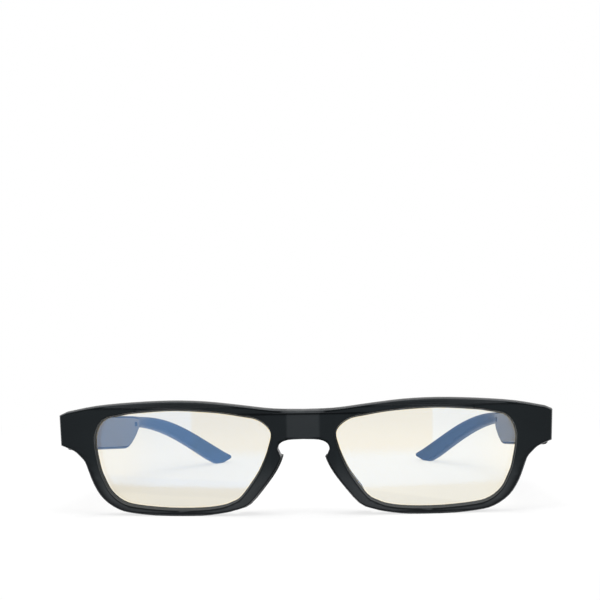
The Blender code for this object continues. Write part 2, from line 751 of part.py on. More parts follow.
def make_temple_hinge(side, pivot):
    """The middle knuckle and the leaf that runs back into the arm."""
    foot, top = knuckle_span(1)
    neck = box((HINGE_X - NECK_HALF_WIDTH, HINGE_Y, foot),
               (HINGE_X + NECK_HALF_WIDTH, NECK_END_Y, top))
    mesh = union_mesh("temple_hinge", (knuckle(1), neck, leaf_box()))
    hinge = add_piece(f"temple_hinge_{side}", on_side(mesh, side), STEEL_DARK, pivot)
    combine(hinge, add_cutter(f"temple_screw_bore_{side}", on_side(screw_bore(), side)))
    for name, at in leaf_screw_places().items():
        hole = leaf_cylinder(LEAF_SCREW_RADIUS + GAP, at, LEAF_OUTER - GAP, LEAF_INNER + GAP)
        combine(hinge, add_cutter(f"leaf_hole_{name}_{side}", on_side(hole, side)))


def make_leaf_screws(side, pivot):
    for name, at in leaf_screw_places().items():
        head = leaf_cylinder(LEAF_SCREW_HEAD_RADIUS, at, LEAF_INNER + RUNNING_GAP,
                             LEAF_INNER + LEAF_SCREW_HEAD_HEIGHT)
        shank = leaf_cylinder(LEAF_SCREW_RADIUS, at, LEAF_INNER - LEAF_THICKNESS - LEAF_SCREW_LENGTH,
                              LEAF_INNER + LEAF_SCREW_HEAD_HEIGHT / 2)
        mesh = union_mesh("leaf_screw", (shank, head))
        add_piece(f"leaf_screw_{name}_{side}", on_side(mesh, side), STEEL_BRIGHT, pivot)


# ================================================================ arms
def make_shell(side, pivot):
    """Outer wall, top and underside of the housing, and the whole ear piece."""
    body = arm_loft(0.0, ARM_LENGTH, fixed(0.0), arm_thickness, fixed(0.0), arm_height,
                    ARM_EDGE_ROUND)
    shell = add_piece(f"temple_shell_{side}", on_side(body, side), BLACK_SATIN, pivot)
    cutters = {
        "cover_recess": cover_loft(GAP, past=COVER_THICKNESS, phase=ARM_STEP / 4),
        "cavity": arm_loft(CAVITY_START, CAVITY_END, fixed(ARM_WALL),
                           lambda s: arm_thickness(s) - COVER_THICKNESS / 2,
                           fixed(ARM_WALL), lambda s: arm_height(s) - ARM_WALL,
                           phase=ARM_STEP / 2),
        "leaf_pocket": leaf_box(GAP, COVER_BACK + COVER_THICKNESS / 2),
        "knuckle_room": knuckle_room(),
        "neck_slot": neck_slot(),
    }
    for name, at in leaf_screw_places().items():
        cutters[f"screw_hole_{name}"] = leaf_cylinder(
            LEAF_SCREW_RADIUS + GAP, at, LEAF_OUTER - LEAF_SCREW_LENGTH - GAP,
            LEAF_OUTER + LEAF_THICKNESS)
    for name, mesh in cutters.items():
        combine(shell, add_cutter(f"{name}_{side}", on_side(mesh, side)))
    combine(shell, TABLE)


def cover_loft(clearance=0.0, past=0.0, phase=0.0, edge_round=0.0):
    """The inner cover, or the recess it seats in; past carries it out of the arm."""
    return arm_loft(COVER_START - clearance, COVER_END + clearance,
                    lambda s: arm_thickness(s) - COVER_THICKNESS - clearance,
                    lambda s: arm_thickness(s) + past, fixed(COVER_LIP + GAP - clearance),
                    lambda s: arm_height(s) - COVER_LIP - GAP + clearance,
                    edge_round=edge_round, phase=phase)


def knuckle_room():
    """Where the arm's front corner is cut away for the knuckles and the hinge's neck.

    Seen from above it is round about the axis, open to the front beside the neck, and
    open to the inside far enough for the arm to fold.
    """
    radius = KNUCKLE_RADIUS + GAP
    side = NECK_HALF_WIDTH + 2 * GAP
    back = 0.6 * KNUCKLE_RADIUS
    reach = HOUSING_THICKNESS
    first = -math.acos(side / radius)
    last = math.pi - math.asin(back / radius)
    outline = [Vector((-reach, back)), Vector((-reach, -reach)), Vector((side, -reach))]
    for step in range(ROUND_SEGMENTS):
        angle = first + (last - first) * step / (ROUND_SEGMENTS - 1)
        outline.append(radius * Vector((math.cos(angle), math.sin(angle))))
    bm = bmesh.new()
    foot, top = HINGE_FOOT - HOUSING_HEIGHT, HINGE_TOP + HOUSING_HEIGHT
    face = bm.faces.new([bm.verts.new((HINGE_X + p.x, HINGE_Y + p.y, foot)) for p in outline])
    raised = bmesh.ops.extrude_face_region(bm, geom=[face])
    for item in raised["geom"]:
        if isinstance(item, bmesh.types.BMVert):
            item.co.z = top
    return to_mesh(bm)


def neck_slot():
    """Room for the middle knuckle's neck, between the well and the leaf's pocket."""
    foot, top = knuckle_span(1)
    side = NECK_HALF_WIDTH + GAP
    return box((HINGE_X - HOUSING_THICKNESS, HINGE_Y - KNUCKLE_RADIUS / 2, foot - GAP),
               (HINGE_X + side, NECK_END_Y + GAP, top + GAP))


def outlet(extra=0.0):
    """The sound outlet's rounded slot, through the cover."""
    start, end = OUTLET_AT - OUTLET_LENGTH / 2, OUTLET_AT + OUTLET_LENGTH / 2
    middle = OUTLET_BELOW_TOP
    half = OUTLET_HEIGHT / 2 + extra
    return arm_loft(start - extra, end + extra,
                    lambda s: arm_thickness(s) - 2 * COVER_THICKNESS,
                    lambda s: arm_thickness(s) + COVER_THICKNESS,
                    fixed(middle - half), fixed(middle + half))


def make_cover(side, pivot):
    cover = add_piece(f"inner_cover_{side}", on_side(cover_loft(edge_round=COVER_EDGE_ROUND), side),
                      GREY_SATIN, pivot)
    combine(cover, add_cutter(f"outlet_{side}", on_side(outlet(), side)))
    combine(cover, add_cutter(f"cover_room_{side}", on_side(knuckle_room(), side)))


# ================================================================ inside the arms
def make_electronics(side, pivot):
    """Board, cell, speaker and outlet mesh, stacked in the housing from front to back."""
    start = CAVITY_START + INNER_PLAY + HOUSING_HEIGHT * math.sin(ARM_PITCH)
    top = ARM_WALL + INNER_PLAY
    bottom = HOUSING_HEIGHT - ARM_WALL - INNER_PLAY
    board_inner = ARM_WALL + INNER_PLAY + BOARD_THICKNESS
    board = arm_box(start, start + BOARD_LENGTH, ARM_WALL + INNER_PLAY, board_inner, top, bottom)
    add_piece(f"circuit_board_{side}", on_side(board, side), BOARD_GREEN, pivot)
    cell_outer = board_inner + GAP
    cell = arm_box(start, start + BATTERY_LENGTH, cell_outer, cell_outer + BATTERY_THICKNESS,
                   top, bottom, BATTERY_ROUND)
    add_piece(f"battery_{side}", on_side(cell, side), FOIL, pivot)
    speaker_start = start + BOARD_LENGTH + INNER_PLAY
    speaker = arm_box(speaker_start, speaker_start + SPEAKER_LENGTH, ARM_WALL + INNER_PLAY,
                      ARM_WALL + INNER_PLAY + SPEAKER_THICKNESS, top, bottom - INNER_PLAY,
                      SPEAKER_ROUND)
    add_piece(f"speaker_{side}", on_side(speaker, side), STEEL_DARK, pivot)
    half = OUTLET_LENGTH / 2 + MESH_BORDER
    back = GAP + MESH_THICKNESS
    mesh = arm_loft(OUTLET_AT - half, OUTLET_AT + half,
                    lambda s: arm_thickness(s) - COVER_THICKNESS - back,
                    lambda s: arm_thickness(s) - COVER_THICKNESS - GAP,
                    fixed(OUTLET_BELOW_TOP - OUTLET_HEIGHT / 2 - MESH_BORDER),
                    fixed(OUTLET_BELOW_TOP + OUTLET_HEIGHT / 2 + MESH_BORDER))
    add_piece(f"speaker_mesh_{side}", on_side(mesh, side), MESH_BLACK, pivot)


def make_side(side):
    pivot = bpy.data.objects.new(f"temple_{side}_pivot", None)
    pivot.parent = ORIGIN
    pivot.location = (SIDES[side] * HINGE_X, HINGE_Y, HINGE_MIDDLE)
    pivot.empty_display_size = HOUSING_THICKNESS
    PIECES.objects.link(pivot)
    make_lens(side)
    make_front_hinge(side)
    make_hinge_screw(side)
    make_temple_hinge(side, pivot)
    make_leaf_screws(side, pivot)
    make_shell(side, pivot)
    make_cover(side, pivot)
    make_electronics(side, pivot)


clear_scene()
PIECES = collection("glasses")
CUTTERS = collection("glasses_cutters")
ORIGIN = bpy.data.objects.new("glasses_origin", None)
PIECES.objects.link(ORIGIN)

BLACK_GLOSS = material("black_gloss", (0.011, 0.013, 0.016), 0.16)
BLACK_SATIN = material("black_satin", (0.014, 0.014, 0.016), 0.42)
GREY_SATIN = material("grey_satin", (0.30, 0.30, 0.31), 0.45)
LENS_CREAM = material("lens_cream", (0.93, 0.89, 0.80), 0.05, alpha=0.30)
STEEL_DARK = material("steel_dark", (0.12, 0.12, 0.13), 0.35, metallic=1.0)
STEEL_BRIGHT = material("steel_bright", (0.55, 0.55, 0.56), 0.28, metallic=1.0)
BOARD_GREEN = material("board_green", (0.02, 0.13, 0.06), 0.50)
FOIL = material("foil", (0.62, 0.62, 0.60), 0.35, metallic=0.8)
MESH_BLACK = material("mesh_black", (0.02, 0.02, 0.02), 0.60)

TABLE = add_cutter("table", box((-FRONT_WIDTH, -ARM_LENGTH, -HALF_WIDTH),
                                (FRONT_WIDTH, 2 * ARM_LENGTH, 0.0)))
make_front()
for side_name in SIDES:
    make_side(side_name)

REAR_Y = max(place.y for _, place, _ in COURSE)
ORIGIN.location = (0.0, -REAR_Y / 2, 0.0)
bpy.context.view_layer.update()
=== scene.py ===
"""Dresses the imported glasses: finishes for every piece, a plain white table and the camera.

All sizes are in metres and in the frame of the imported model.
"""

import math

import bpy
from bpy.props import FloatProperty, FloatVectorProperty, PointerProperty
from mathutils import Matrix, Vector


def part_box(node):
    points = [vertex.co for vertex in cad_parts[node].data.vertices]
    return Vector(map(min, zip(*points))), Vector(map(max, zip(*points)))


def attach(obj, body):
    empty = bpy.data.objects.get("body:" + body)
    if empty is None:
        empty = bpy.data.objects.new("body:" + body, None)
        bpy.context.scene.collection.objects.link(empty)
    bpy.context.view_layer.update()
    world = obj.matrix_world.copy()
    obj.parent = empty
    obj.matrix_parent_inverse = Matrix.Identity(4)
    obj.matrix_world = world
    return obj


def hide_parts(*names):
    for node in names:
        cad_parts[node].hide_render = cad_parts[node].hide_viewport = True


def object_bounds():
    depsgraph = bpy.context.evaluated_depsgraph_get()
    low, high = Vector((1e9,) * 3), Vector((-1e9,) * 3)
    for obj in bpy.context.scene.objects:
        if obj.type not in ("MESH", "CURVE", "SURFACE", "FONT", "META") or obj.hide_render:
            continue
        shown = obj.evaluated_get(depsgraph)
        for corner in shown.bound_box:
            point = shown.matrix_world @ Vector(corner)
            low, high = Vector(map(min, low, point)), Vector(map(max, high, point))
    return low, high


bl_info = {
    "name": "Folding Glasses Finishes",
    "version": (1, 0, 0),
    "blender": (4, 5, 0),
    "location": "3D View > Sidebar > Glasses",
    "description": "Finishes for a pair of folding glasses with tinted lenses, on a white table",
    "category": "Object",
}

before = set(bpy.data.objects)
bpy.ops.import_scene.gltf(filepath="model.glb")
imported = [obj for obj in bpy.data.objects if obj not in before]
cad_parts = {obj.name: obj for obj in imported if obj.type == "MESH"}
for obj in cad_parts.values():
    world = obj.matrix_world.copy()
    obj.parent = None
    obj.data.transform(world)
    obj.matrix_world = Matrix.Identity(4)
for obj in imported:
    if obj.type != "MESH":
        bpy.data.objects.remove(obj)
packed_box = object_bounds()

SIDES = ("left", "right")
MILLIMETRE = 0.001
WHITE = (1.0, 1.0, 1.0, 1.0)
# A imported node's faces come apart from each other: they are joined up to this distance,
# and stay apart where they meet at more than this angle.
JOIN_DISTANCE = 0.000001
CRISP_ANGLE = math.radians(32)


# ---------------------------------------------------------------- shader maths


class Signal:
    """One value in a material, so that shader maths is written as an expression."""

    def __init__(self, desk, socket):
        self.desk = desk
        self.socket = socket

    def maths(self, operation, *values):
        """A Math node on the given values."""
        return self.desk.node("ShaderNodeMath", {"operation": operation}, dict(enumerate(values)))

    def __add__(self, other):
        return self.maths("ADD", self, other)

    def __radd__(self, other):
        return self.maths("ADD", other, self)

    def __sub__(self, other):
        return self.maths("SUBTRACT", self, other)

    def __rsub__(self, other):
        return self.maths("SUBTRACT", other, self)

    def __mul__(self, other):
        return self.maths("MULTIPLY", self, other)

    def __rmul__(self, other):
        return self.maths("MULTIPLY", other, self)

    def __pow__(self, other):
        return self.maths("POWER", self, other)

    def __abs__(self):
        return self.maths("ABSOLUTE", self)

    def sine(self):
        """The sine of the value."""
        return self.maths("SINE", self)

    def least(self, other):
        """The smaller of the two."""
        return self.maths("MINIMUM", self, other)

    def most(self, other):
        """The larger of the two."""
        return self.maths("MAXIMUM", self, other)

    def step(self, low, high):
        """0 below low and 1 above high, with a soft step between them."""
        settings = {"interpolation_type": "SMOOTHSTEP"}
        return self.desk.node("ShaderNodeMapRange", settings, {0: self, 1: low, 2: high})

    def between(self, low, high, soft):
        """1 between low and high, falling to 0 over soft at both ends."""
        return self.step(low - soft, low + soft) * (1.0 - self.step(high - soft, high + soft))


class Desk:
    """The node tree of one material, or of the world."""

    def __init__(self, name, kind="materials"):
        self.material = getattr(bpy.data, kind).new(name)
        self.material.use_nodes = True
        self.tree = self.material.node_tree
        self.tree.nodes.clear()

    def node(self, kind, settings=None, values=None, out=0):
        """Adds a node: its settings first, then the values or links of its sockets."""
        made = self.tree.nodes.new(kind)
        for name, value in (settings or {}).items():
            setattr(made, name, value)
        for name, value in (values or {}).items():
            if isinstance(value, Signal):
                self.tree.links.new(value.socket, made.inputs[name])
            else:
                made.inputs[name].default_value = value
        return Signal(self, made.outputs[out]) if made.outputs else made

    def place(self):
        """The point on the piece in millimetres; it stays with the piece when that moves."""
        point = self.node("ShaderNodeTexCoord", out=3)
        values = {0: point, 3: 1.0 / MILLIMETRE}
        return self.node("ShaderNodeVectorMath", {"operation": "SCALE"}, values)

    def axes(self, vector):
        """The x, y and z of a vector."""
        split = self.tree.nodes.new("ShaderNodeSeparateXYZ")
        self.tree.links.new(vector.socket, split.inputs[0])
        return [Signal(self, split.outputs[i]) for i in range(3)]

    def facing(self):
        """The x, y and z of the way the surface faces, in the piece's own axes."""
        return self.axes(self.node("ShaderNodeTexCoord", out=1))

    def stretched(self, vector, scale):
        """The vector with its axes stretched."""
        values = {0: vector, 1: scale}
        return self.node("ShaderNodeVectorMath", {"operation": "MULTIPLY"}, values)

    def noise(self, vector, scale, detail=2.0, roughness=0.5):
        """Soft noise from 0 to 1."""
        values = {"Vector": vector, "Scale": scale, "Detail": detail, "Roughness": roughness}
        return self.node("ShaderNodeTexNoise", None, values)

    def cells(self, vector, scale, feature="F1"):
        """Distance to the nearest of many scattered points, or to the line between two."""
        values = {"Vector": vector, "Scale": scale}
        return self.node("ShaderNodeTexVoronoi", {"feature": feature}, values)

    def blend(self, amount, first, second):
        """A colour between first and second."""
        colours = [c if isinstance(c, Signal) else rgba(c) for c in (first, second)]
        values = {0: amount, 6: colours[0], 7: colours[1]}
        return self.node("ShaderNodeMix", {"data_type": "RGBA"}, values, 2)

    def bump(self, height, depth):
        """A bump of that depth in metres."""
        values = {"Height": height, "Strength": 1.0, "Distance": depth}
        return self.node("ShaderNodeBump", None, values)

    def surface(self, values):
        """A Principled surface."""
        return self.node("ShaderNodeBsdfPrincipled", None, values)

    def mixed(self, share, first, second):
        """Two shaders mixed: share of the second, the rest of the first."""
        return self.node("ShaderNodeMixShader", None, {0: share, 1: first, 2: second})

    def finish(self, shader):
        """Sends a shader to the output and gives the finished material."""
        self.node("ShaderNodeOutputMaterial", None, {"Surface": shader})
        return self.material


def rgba(colour):
    """A colour with its alpha."""
    return (*tuple(colour)[:3], 1.0)


def scaled(colour, factor):
    """A colour made darker or lighter."""
    return tuple(c * factor for c in tuple(colour)[:3])


def even_shading(piece):
    """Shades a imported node's rounded faces smooth and keeps its corners crisp."""
    piece.data.shade_smooth()
    weld = piece.modifiers.new("joined_faces", "WELD")
    weld.merge_threshold = JOIN_DISTANCE
    split = piece.modifiers.new("crisp_corners", "EDGE_SPLIT")
    split.split_angle = CRISP_ANGLE
    split.use_edge_sharp = False
    even = piece.modifiers.new("even_normals", "WEIGHTED_NORMAL")
    even.keep_sharp = True
    even.weight = 100


def wear(node, material):
    """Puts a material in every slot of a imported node."""
    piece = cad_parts[node]
    piece.data.materials.clear()
    piece.data.materials.append(material)
    even_shading(piece)


def both(name):
    """The left and the right node of a pair."""
    return [f"{name}_{side}" for side in SIDES]


# ---------------------------------------------------------------- fine geometry

# The lens opening's outline as shares of its width (0 at the nose) and height.
OPENING_SHAPE = (
    (1.000, 0.717), (0.979, 0.432), (0.951, 0.289), (0.912, 0.163), (0.848, 0.070),
    (0.764, 0.028), (0.580, 0.000), (0.399, 0.003), (0.288, 0.027), (0.228, 0.063),
    (0.170, 0.126), (0.086, 0.329), (0.047, 0.458), (0.015, 0.608), (0.000, 0.777),
    (0.069, 0.897), (0.170, 0.940), (0.326, 0.980), (0.552, 1.000), (0.753, 0.977),
    (0.845, 0.953), (0.951, 0.897),
)
OUTLINE_STEPS = 8
FRONT_FACE_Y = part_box("front_frame")[0].y
SHARP_ANGLE = math.radians(40)
# The bead's section: share of its width towards the lens's middle, and share of its height.
BEAD_SECTION = ((-0.10, 1.0), (0.30, 0.92), (0.75, 0.55), (1.0, 0.08))
BEAD_SUNK = 0.03 * MILLIMETRE
# The rings of faces on a lens, as shares of the way from its middle to the bare edge.
LENS_RINGS = (0.05, 0.2, 0.4, 0.6, 0.8, 1.0)
LENS_BEVELS = 6  # how many times the edge's bevel goes into the lens's thickness


def smooth_loop(points, steps):
    """A closed smooth curve through the points."""
    count = len(points)
    found = []
    for index in range(count):
        before, here, after, beyond = [points[(index + k) % count] for k in (-1, 0, 1, 2)]
        for step in range(steps):
            t = step / steps
            straight = 2 * here + (after - before) * t
            bend = (2 * before - 5 * here + 4 * after - beyond) * t * t
            twist = (3 * here - before - 3 * after + beyond) * t ** 3
            found.append(0.5 * (straight + bend + twist))
    return found


def opening_loop(node, settings):
    """The opening round a lens, as seen from the front, in metres."""
    low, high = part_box(node)
    hidden = settings.lens_in_groove
    inner = min(abs(low.x), abs(high.x)) + hidden
    outer = max(abs(low.x), abs(high.x)) - hidden
    foot, top = low.z + hidden, high.z - hidden
    sign = 1.0 if low.x + high.x > 0 else -1.0
    points = [
        Vector((sign * (inner + (outer - inner) * u), foot + (top - foot) * v))
        for u, v in OPENING_SHAPE
    ]
    return smooth_loop(points, OUTLINE_STEPS), sign


def moved_in(loop, distance, sign):
    """The loop moved towards its middle; the right one runs clockwise."""
    moved = []
    for before, here, after in zip(loop[-1:] + loop[:-1], loop, loop[1:] + loop[:1]):
        along = (after - before).normalized()
        moved.append(here + sign * distance * Vector((along.y, -along.x)))
    return moved


def bowed(points, depth, settings):
    """Points as seen from the front, set this deep behind the front's bowed face."""
    return [
        (p.x, FRONT_FACE_Y + depth + p.x * p.x / (2 * settings.bow_radius), p.y) for p in points
    ]


def add_lofted(name, rows, ring, sign, material):
    """A smooth skin over rows of points: closed to a ring, or with a face at each end."""
    count = len(rows[0])
    faces = []
    for row in range(len(rows) if ring else len(rows) - 1):
        here, following = row * count, (row + 1) % len(rows) * count
        for k in range(count):
            after = (k + 1) % count
            faces.append((here + k, here + after, following + after, following + k))
    if not ring:
        faces.append(tuple(range(count))[::-1])
        faces.append(tuple(range((len(rows) - 1) * count, len(rows) * count)))
    if sign > 0:
        faces = [face[::-1] for face in faces]
    mesh = bpy.data.meshes.new(name)
    mesh.from_pydata([point for row in rows for point in row], [], faces)
    mesh.shade_smooth()
    mesh.set_sharp_from_angle(angle=SHARP_ANGLE)
    mesh.materials.append(material)
    piece = bpy.data.objects.new(name, mesh)
    bpy.context.scene.collection.objects.link(piece)
    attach(piece, "front")
    return piece


def make_rim_bead(node, name, settings, material):
    """The thin bead that closes the groove in front of a lens, all round the opening."""
    loop, sign = opening_loop(node, settings)
    width, lens_y, proud = settings.bead_width, settings.lens_setback, settings.bead_proud
    sections = [(inward * width, lens_y - height * proud) for inward, height in BEAD_SECTION]
    sections += [(inward * width, lens_y + BEAD_SUNK) for inward in (1.0, BEAD_SECTION[0][0])]
    rows = [bowed(moved_in(loop, inward, sign), depth, settings) for inward, depth in sections]
    add_lofted(name, rows, True, sign, material)


def make_lens_sheet(node, name, settings, materials):
    """A lens whose bowed faces mirror the room evenly, with a coat that stops short of the rim."""
    loop, sign = opening_loop(node, settings)
    edge = moved_in(loop, -settings.lens_in_groove, sign)
    coated = moved_in(loop, settings.bare_edge, sign)
    middle = sum(edge, Vector((0.0, 0.0))) / len(edge)
    front_y, back_y = settings.lens_setback, settings.lens_setback + settings.lens_thick
    bevel = settings.lens_thick / LENS_BEVELS
    beveled = moved_in(edge, bevel, sign)
    face = [[middle + (p - middle) * share for p in coated] for share in LENS_RINGS]
    sections = [(points, back_y) for points in face]
    sections += [(beveled, back_y), (edge, back_y - bevel)]
    sections += [(edge, front_y + bevel), (beveled, front_y)]
    sections += [(points, front_y) for points in reversed(face)]
    rows = [bowed(points, depth, settings) for points, depth in sections]
    sheet = add_lofted(name, rows, False, sign, materials[0])
    sheet.data.materials.append(materials[1])
    bare_rows = range(len(face) - 1, len(rows) - len(face))
    for row in bare_rows:
        for polygon in sheet.data.polygons[row * len(loop) : (row + 1) * len(loop)]:
            polygon.material_index = 1
    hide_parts(node)


# ---------------------------------------------------------------- finishes

# Stretches of the front, in millimetres from its middle (AWAY) or above the table (UP).
# Where there are three values, the last one is how softly the stretch ends.
PANEL_SOFT = 0.45
FLANK_SOFT = 0.6
# Where the rims meet the bridge, which gets painted shade.
HOLLOW_AWAY = (10.0, 19.0, 2.5)
HOLLOW_UP = (26.0, 31.0, 0.8)
KEYHOLE_AWAY = (10.0, 15.0)
KEYHOLE_UP = (24.0, 27.0)
# The lower front, which gets a painted highlight.
LOWER_FRONT_HIGHLIGHT_UP = (1.0, 18.0)
# Stretches of the lenses in which painted reflections stand for different parts of the room, in
# millimetres.
# A tilt is how far the band falls for each millimetre to the right.
CARD_MIDDLE = 2.3
CARD_SOFT = 0.4
CARD_FOOT_SOFT = 2.2
BAND_HEIGHT = 5.0
BAND_SOFT = 0.4
BAND_TILT = 0.055
BAND_TURN = 12.0  # to the right of this the next tilt is added
BAND_TURN_TILT = 0.09
LEFT_HALF = (-10.0, 10.0)
OUTER_AWAY = (44.0, 58.0)
# Fine patterns: radians to the millimetre in the boards' weave, millimetres between wires.
WEAVE_PACE = 9.0
WIRE_PITCH = 0.32


def polished_black(settings):
    """Polished near-black plastic: painted highlights on the grained bevels, the bridge's middle
    panel and the lower front, painted shade beside the bevels and on the bridge's flanks and
    corners, a flat panel on the bridge, a faint ripple and light wear."""
    desk = Desk("polished_black")
    place = desk.place()
    across, _, up = desk.axes(place)
    _, front_on, up_on = desk.facing()
    mottle = desk.noise(place, 0.09, 3.0)
    grain = desk.noise(place, 7.0, 2.0, 0.7)
    scratches = desk.noise(desk.stretched(place, (0.5, 1.0, 6.0)), 1.6, 4.0, 0.6)
    head_on = abs(front_on)
    bevel = head_on.between(0.12, 0.9, 0.06)
    # Painted shade: a dark line where the flat face turns into a bevel, found from the way the
    # surface faces.
    crease_shade = head_on.between(0.93, 0.985, 0.015)
    upper = up_on.step(0.2, 0.9)
    rubbed = bevel * scratches.step(0.42, 0.72)
    away = abs(across)
    half = settings.panel_half
    # The bridge's middle panel is raised by a bump and gets a painted highlight; its flanks get
    # painted shade.
    panel = 1.0 - away.step(half - PANEL_SOFT, half + PANEL_SOFT)
    flank = away.between(half, settings.flank_end, FLANK_SOFT)
    # Painted shade where the rims meet the bridge.
    hollow = away.between(*HOLLOW_AWAY) * up.between(*HOLLOW_UP)
    keyhole = (1.0 - away.step(*KEYHOLE_AWAY)) * (1.0 - up.step(*KEYHOLE_UP))
    # The lower front, which gets a painted highlight.
    lower_front_highlight = 1.0 - up.step(*LOWER_FRONT_HIGHLIGHT_UP)
    colour = desk.blend(mottle.step(0.3, 0.7), scaled(settings.colour, 0.8), settings.colour)
    # Painted highlight on the bridge's middle panel and, more strongly, on the lower front.
    colour = desk.blend(panel * 0.18 + lower_front_highlight * 0.62, colour, settings.sheen_and_wear_colour)
    # Painted shade on the bridge's flanks, where the rims meet the bridge and in the creases beside
    # the bevels.
    dark = (flank * 0.35 + hollow * 0.6 + crease_shade * 0.8).least(1.0)
    colour = desk.blend(dark, colour, settings.painted_shade_colour)
    # Painted highlight on the bevels, stronger on those that face up, broken up by the grain and
    # left out round the keyhole.
    pale = bevel * (1.0 - keyhole) * (0.6 + 0.4 * upper) * (0.55 + 0.9 * grain.step(0.3, 0.7))
    colour = desk.blend(pale.least(1.0), colour, settings.sheen_and_wear_colour)
    colour = desk.blend(rubbed * 0.3, colour, scaled(settings.sheen_and_wear_colour, 1.4))
    roughness = 0.12 + 0.05 * mottle + 0.2 * upper + 0.12 * rubbed + 0.08 * flank
    roughness = roughness + 0.45 * keyhole * bevel
    step_height = 2.0 * panel + 0.5 * desk.noise(place, 0.35, 1.0) + 0.07 * grain * (0.3 + upper)
    values = {
        "Base Color": colour,
        "Roughness": roughness,
        "IOR": 1.49,
        "Specular IOR Level": settings.shine,
        "Specular Tint": rgba(settings.shine_tint),
        "Normal": desk.bump(step_height, 0.012 * MILLIMETRE),
    }
    return desk.finish(desk.surface(values))


def satin_black(settings):
    """Satin near-black plastic of the arms: spark-eroded grain, worn a little at the edges."""
    desk = Desk("satin_black")
    place = desk.place()
    _, _, up_on = desk.facing()
    grain = desk.noise(place, 5.5, 3.0, 0.65)
    mottle = desk.noise(place, 0.12, 3.0)
    smear = desk.noise(desk.stretched(place, (1.0, 0.25, 1.0)), 0.5, 3.0)
    edge = abs(up_on).between(0.35, 0.92, 0.12)
    rubbed = edge * desk.noise(place, 0.8, 4.0, 0.6).step(0.42, 0.7)
    colour = desk.blend(mottle.step(0.3, 0.7), scaled(settings.colour, 0.8), settings.colour)
    colour = desk.blend(rubbed * 0.35, colour, scaled(settings.colour, 2.2))
    roughness = 0.36 + 0.1 * grain + 0.08 * smear - 0.08 * rubbed
    values = {
        "Base Color": colour,
        "Roughness": roughness,
        "IOR": 1.5,
        "Specular IOR Level": 0.28,
        "Normal": desk.bump(grain, 0.02 * MILLIMETRE),
    }
    return desk.finish(desk.surface(values))


def satin_grey(settings):
    """Satin grey plastic of the inner covers: fine grain and faint handling marks."""
    desk = Desk("satin_grey")
    place = desk.place()
    grain = desk.noise(place, 6.0, 3.0, 0.65)
    mottle = desk.noise(place, 0.15, 3.0)
    handled = desk.noise(desk.stretched(place, (1.0, 0.3, 1.2)), 0.4, 4.0, 0.6).step(0.5, 0.75)
    grey = settings.cover_colour
    colour = desk.blend(mottle.step(0.3, 0.7), scaled(grey, 0.93), grey)
    colour = desk.blend(handled * 0.2, colour, scaled(grey, 0.8))
    values = {
        "Base Color": colour,
        "Roughness": 0.4 + 0.12 * grain - 0.08 * handled,
        "IOR": 1.5,
        "Specular IOR Level": 0.4,
        "Normal": desk.bump(grain, 0.018 * MILLIMETRE),
    }
    return desk.finish(desk.surface(values))


def tinted_lens(name, settings, coat_share):
    """A clear lens with a cream tint and a blue reflecting coat; painted reflections in soft broad
    bands and stretches make it creamier or bluer in places.
    """
    desk = Desk(name)
    place = desk.place()
    across, _, up = desk.axes(place)
    away = abs(across - CARD_MIDDLE)
    foot = settings.card_foot
    # Painted reflection of a cream card: a creamier stretch beside the nose, above its foot.
    card = away.between(settings.card_from, settings.card_to, CARD_SOFT)
    card = card * up.step(foot - CARD_FOOT_SOFT, foot + CARD_FOOT_SOFT)
    slope = up + BAND_TILT * across + BAND_TURN_TILT * (across - BAND_TURN).most(0.0)
    slope = slope + desk.noise(place, 0.03, 1.0)
    # Painted reflection: a broad tilted band where the coat mirrors more.
    band = slope.between(settings.band_foot, settings.band_foot + BAND_HEIGHT, BAND_SOFT)
    haze = desk.noise(place, 0.12, 3.0)
    # Painted reflections: the left lens mirrors more and is creamier, the outer parts mirror less.
    left = 1.0 - across.step(*LEFT_HALF)
    outer = away.step(*OUTER_AWAY)
    # The coat's share, raised and lowered by those painted reflections and by a random haze.
    share = coat_share * (0.78 + 0.12 * haze + 0.2 * band + 0.36 * left - 0.3 * outer)
    smudge = desk.noise(place, 0.45, 4.0, 0.6).step(0.5, 0.8)
    coat = {
        "Base Color": desk.blend(haze, settings.coat_colour, scaled(settings.coat_colour, 0.92)),
        "Metallic": 1.0,
        "Roughness": 0.07 + 0.05 * smudge,
        "Normal": desk.bump(desk.noise(place, 0.25, 1.0), 0.002 * MILLIMETRE),
    }
    clear = desk.node("ShaderNodeBsdfTransparent", None, {"Color": rgba(settings.tint)})
    cream = desk.node("ShaderNodeBsdfTransparent", None, {"Color": rgba(settings.cream_reflection_tint)})
    # Painted reflection of cream: the creamier tint in the card's stretch, on the left lens and in
    # the band.
    cream_reflection_share = (card * 0.55 + left * 0.3 + band * 0.1).least(1.0)
    see_through = desk.mixed(cream_reflection_share, clear, cream)
    return desk.finish(desk.mixed(share, see_through, desk.surface(coat)))


def dark_steel(settings):
    """Blackened hinge steel, finely brushed and a little paler in spots."""
    desk = Desk("dark_steel")
    place = desk.place()
    brushed = desk.noise(desk.stretched(place, (1.0, 1.0, 9.0)), 2.4, 3.0)
    spots = desk.noise(place, 1.3, 4.0, 0.7).step(0.55, 0.75)
    colour = desk.blend(spots * 0.5, settings.hinge_colour, scaled(settings.hinge_colour, 1.7))
    values = {
        "Base Color": colour,
        "Metallic": 0.9,
        "Roughness": 0.34 + 0.16 * brushed,
        "Normal": desk.bump(brushed, 0.01 * MILLIMETRE),
    }
    return desk.finish(desk.surface(values))


